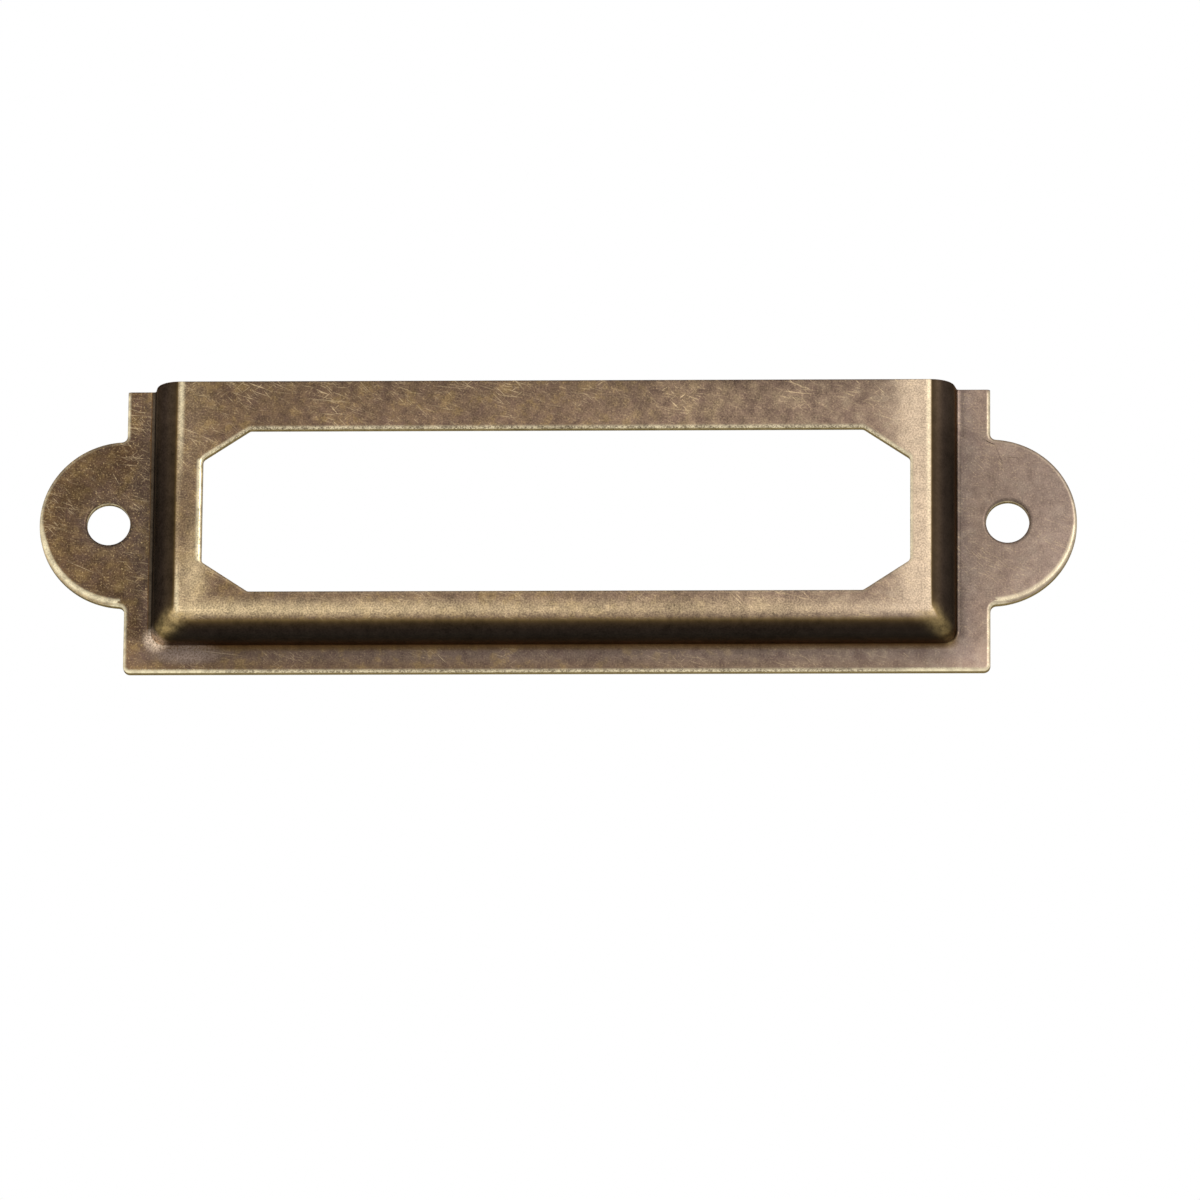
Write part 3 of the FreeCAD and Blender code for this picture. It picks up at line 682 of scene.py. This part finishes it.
def tray_walls(nodes, on, ragged, colour):
    """The tray's section laid over the flats: the rim turns from olive to the black-brown of the wall, dark
    patina and painted shade together, and reddish at the foot. The stops are millimetres down from the rim,
    with a colour and how far it covers. The ridges at the lower corners carry a painted highlight over bare
    brass, the right one less."""
    section = add(nodes, "MapRange", SMOOTH, [on.from_rim, 1.6, 0.8])[0]
    section = add(nodes, "Math", FUSED, [ragged, section, on.from_rim])[0]
    ramp_length = 4.0
    section = add(nodes, "MapRange", {}, [section, 0.0, ramp_length])[0]
    stops = ((0.4, "#705c34", 0.0), (0.52, "#705c34", 0.5), (0.6, "#62502f", 0.85), (0.7, "#4e3e26", 1.0),
             (0.82, "#3d3021", 1.0), (0.95, "#32281d", 1.0), (1.2, "#29211b", 1.0), (1.65, "#2a241e", 1.0),
             (1.9, "#383027", 1.0), (2.16, "#46392b", 1.0), (2.4, "#4f3c2a", 1.0), (2.65, "#543a25", 1.0),
             (2.8, "#4e3620", 1.0), (2.93, "#4c361c", 0.92), (3.05, "#584220", 0.6), (3.2, "#5e4826", 0.0))
    stops = [(down / ramp_length, shade, cover) for down, shade, cover in stops]
    wall = add(nodes, "ValToRGB", {}, [section], stops)
    shaded = add(nodes, "Mix", TINT, {COVER: 1.0, UNDER: wall["Color"], UPPER: on.tone})[MIXED]
    colour = add(nodes, "Mix", OVER, {COVER: wall["Alpha"], UNDER: colour, UPPER: shaded})[MIXED]
    bare_and_lit_ridge = fading(nodes, on.ridge, (
        (on.blotch, 0.35, 0.6, 0.6, 1.0), (on.from_rim, 0.0, 0.25, 0.0, 1.0),
        (on.from_rim, 3.05, 2.85, 0.0, 1.0), (on.across, 0, 20, 1.0, 0.55)))
    lit = add(nodes, "MapRange", {}, [on.from_rim, 0.0, 3.0])[0]
    lit = add(nodes, "ValToRGB", {}, [lit], ((0.1, "#b89f70", 1), (0.35, "#a08a5c", 1), (0.7, "#937d50", 1),
                                             (0.92, "#b59d72", 1)))["Color"]
    return add(nodes, "Mix", OVER, {COVER: bare_and_lit_ridge, UNDER: colour, UPPER: lit})[MIXED]


def pale_patches(nodes, on, colour):
    """A paler patch on the plate at the lower left, and a bright patch of painted highlight where the left
    ridge meets the plate: ellipsoids about a middle, given as x, depth and z, half width, half height and
    colour."""
    half_depth = 1.1
    for x, depth, z, half, high, shade in (
            (-21.4, 0.6, -7.9, 2.8, 0.8, "#87766a"), (-23.1, 0.8, -7.05, 0.95, 0.95, "#f0d8be")):
        pale_patch = add(nodes, "Mapping", TEXTURE, {"Vector": on.place, "Location": (x, -depth, z),
                                                "Scale": (half, half_depth, high)})[0]
        pale_patch = add(nodes, "VectorMath", LENGTH, [pale_patch])["Value"]
        pale_patch = add(nodes, "MapRange", SMOOTH, [pale_patch, 1.0, 0.3])[0]
        pale_patch = fading(nodes, pale_patch, [(on.grain, 0.36, 0.56, 0.4, 1.0)])
        colour = add(nodes, "Mix", OVER, {COVER: pale_patch, UNDER: colour, UPPER: linear(shade)})[MIXED]
    return colour


def dull_back(nodes, on, scratches):
    """The back was never rubbed: dark brown in clouds, with faint scratches."""
    cloudy = add(nodes, "MapRange", SMOOTH, [on.cloud, 0.35, 0.65])[0]
    back = add(nodes, "Mix", OVER, {COVER: cloudy, UNDER: linear("#4b3b29"), UPPER: linear("#665339")})[MIXED]
    faint = add(nodes, "Math", TIMES, [scratches, 0.4])[0]
    return add(nodes, "Mix", OVER, {COVER: faint, UNDER: back, UPPER: linear("#a08a64")})[MIXED]


def antique_brass_and_painted_light():
    """Antique brass plating: a satin brown patina with a fine mottle and light scratches on the flats,
    broken through to yellow brass along the rims and the rolled edges, with painted highlights there, and
    black-brown on the walls, partly dark patina where no cloth reached it and partly painted shade."""
    material = bpy.data.materials.new("antique_brass_plating_and_painted_light")
    material.use_nodes = True
    nodes = material.node_tree.nodes
    on = readings(nodes)
    ragged = add(nodes, "MapRange", {}, [on.grain, 0.3, 0.7, -0.05, 0.05])[0]
    scratches, scores = scratch_marks(nodes, on)
    # Bare brass with painted highlight on the rolled edges, brightest where they face down
    edge = rolled_edges(nodes, on, ragged)
    # The cut faces keep thin plating
    raw = add(nodes, "MapRange", {}, [on.from_cut, 0.0, -0.2])[0]

    colour = bare_flats_and_highlight(nodes, on, patina(nodes, on))
    for cover, shade in ((scratches, "#c9b28c"), (scores, "#4a3c33"), (edge, POLISHED_AND_HIGHLIGHT)):
        colour = add(nodes, "Mix", OVER, {COVER: cover, UNDER: colour, UPPER: linear(shade)})[MIXED]
    colour = rim_lines(nodes, on, colour)
    colour = tray_walls(nodes, on, ragged, colour)
    colour = pale_patches(nodes, on, colour)
    for cover, shade in ((on.behind, dull_back(nodes, on, scratches)), (raw, linear("#a4946e"))):
        colour = add(nodes, "Mix", OVER, {COVER: cover, UNDER: colour, UPPER: shade})[MIXED]
    colour = add(nodes, "Mix", TINT, {COVER: 1.0, UNDER: colour, UPPER: mottle(nodes, on)})[MIXED]

    # The rubbed edges are smoother than the satin flats, and scratches cut below the grain
    shine = add(nodes, "MapRange", {}, [edge, 0.0, 1.0, 0.5, 0.3])[0]
    relief = add(nodes, "Math", FUSED, [scratches, -0.5, on.grain])[0]
    bump = add(nodes, "Bump", {}, {"Height": relief, "Strength": 0.3, "Distance": 0.02 * MM})[0]
    shader = nodes["Principled BSDF"]
    shader.inputs["Metallic"].default_value = 1.0
    shader.inputs["Specular Tint"].default_value = linear("#95908a")
    for name, source in (("Base Color", colour), ("Roughness", shine), ("Normal", bump)):
        material.node_tree.links.new(source, shader.inputs[name])
    return material


def lamp(name, place, aim, size, power):
    """A soft square lamp at a place, turned towards a point, in metres and watts."""
    light = bpy.data.lights.new(name, "AREA")
    light.size = size
    light.energy = power
    shown = bpy.data.objects.new(name, light)
    shown.location = place
    shown.rotation_euler = (Vector(aim) - Vector(place)).to_track_quat("-Z", "Y").to_euler()
    bpy.context.scene.collection.objects.link(shown)


def studio():
    """White surroundings, and a soft lamp at the right that brings out the right-hand rim."""
    world = bpy.data.worlds.new("studio")
    bpy.context.scene.world = world
    world.use_nodes = True
    background = world.node_tree.nodes["Background"]
    background.inputs["Color"].default_value = linear("#ffffff")
    background.inputs["Strength"].default_value = 1.0
    lamp("soft_lamp_right", place=(0.11, -0.16, 0.06), aim=(0.01, 0, 0), size=0.1, power=0.16)


def pale_floor():
    """A plain pale floor, well below the drawer front that the frame would hang on, in metres."""
    half, level = 3.0, -0.3
    corners = [(-half, -half, level), (half, -half, level), (half, half, level), (-half, half, level)]
    mesh = bpy.data.meshes.new("floor")
    mesh.from_pydata(corners, [], [(0, 1, 2, 3)])
    floor = bpy.data.objects.new("floor", mesh)
    bpy.context.scene.collection.objects.link(floor)
    material = bpy.data.materials.new("pale_floor")
    material.use_nodes = True
    material.node_tree.nodes["Principled BSDF"].inputs["Base Color"].default_value = linear("#f4f4f4")
    mesh.materials.append(material)


def camera():
    """A long lens that looks up at the face from a little below and a little to the right of it."""
    turn, tilt, roll = math.radians(-2.2), math.radians(17.2), math.radians(-0.5)
    distance, sensor = 700.0, 36
    # In pixels: the picture's width, one millimetre, and where the point looked at stands in the picture
    picture, millimetre = 1200, 17.295
    aim_column, aim_row = 557.72, 533.76
    ahead = Vector((math.sin(turn) * math.cos(tilt), math.cos(turn) * math.cos(tilt), math.sin(tilt)))
    level = Vector((math.cos(turn), -math.sin(turn), 0))
    above = level.cross(ahead)
    right = level * math.cos(roll) - above * math.sin(roll)
    up = level * math.sin(roll) + above * math.cos(roll)
    aside, below = (picture / 2 - aim_column) / millimetre, (picture / 2 - aim_row) / millimetre
    looked_at = Vector((0, 0, -0.5))
    place = looked_at - ahead * distance + right * aside - up * below
    data = bpy.data.cameras.new("camera")
    data.sensor_width = sensor
    data.lens = sensor * distance / (picture / millimetre)
    shown = bpy.data.objects.new("camera", data)
    axes = Matrix((right, up, -ahead)).transposed().to_4x4()
    shown.matrix_world = Matrix.Translation(place * MM) @ axes
    bpy.context.scene.collection.objects.link(shown)
    bpy.context.scene.camera = shown


piece = pressed_frame()
piece.data.materials.append(antique_brass_and_painted_light())
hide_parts("label_frame")
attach(piece, "root")
studio()
pale_floor()
camera()
bpy.context.scene.view_settings.view_transform = "Standard"
bpy.context.view_layer.update()
